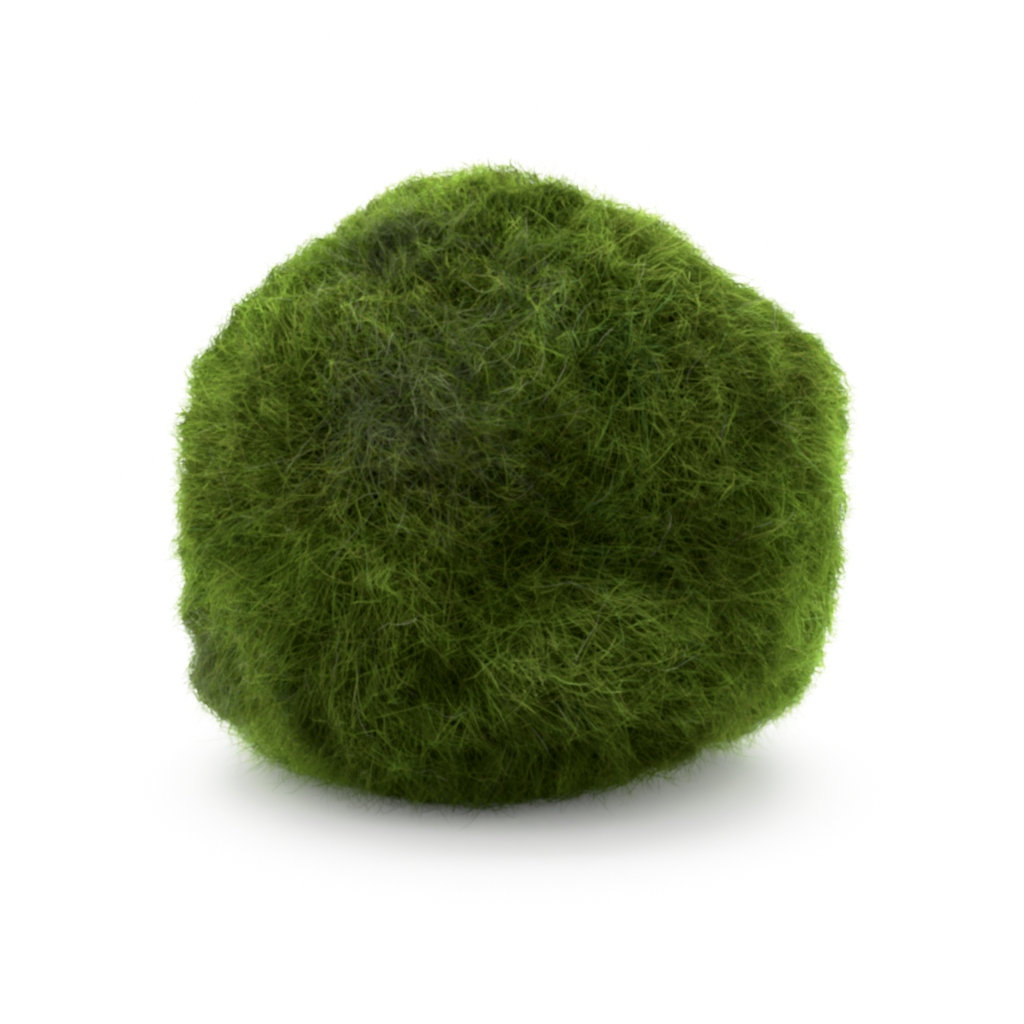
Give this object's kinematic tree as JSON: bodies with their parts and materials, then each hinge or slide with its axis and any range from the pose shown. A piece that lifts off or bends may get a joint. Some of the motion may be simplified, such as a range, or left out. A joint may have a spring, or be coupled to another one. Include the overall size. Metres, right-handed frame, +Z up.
{
  "type": "marimo moss ball",
  "caption": "Irregular ball of felted freshwater algae threads with a combed, tufted surface, slightly sagging, that rests on a small flat spot.",
  "frame": {"origin": "on the surface that the ball rests on, below the middle of the ball's width and depth", "axes": "+Z up, -Y towards the viewer of the picture, +X to the viewer's right and along the ball's widest way"},
  "size_m": [0.0498, 0.047, 0.0445],
  "materials": {
    "moss": "soft matte felt of fine green threads, with a slight wet sheen"
  },
  "bodies": {
    "root": {"moss_ball": "moss"}
  },
  "joints": []
}
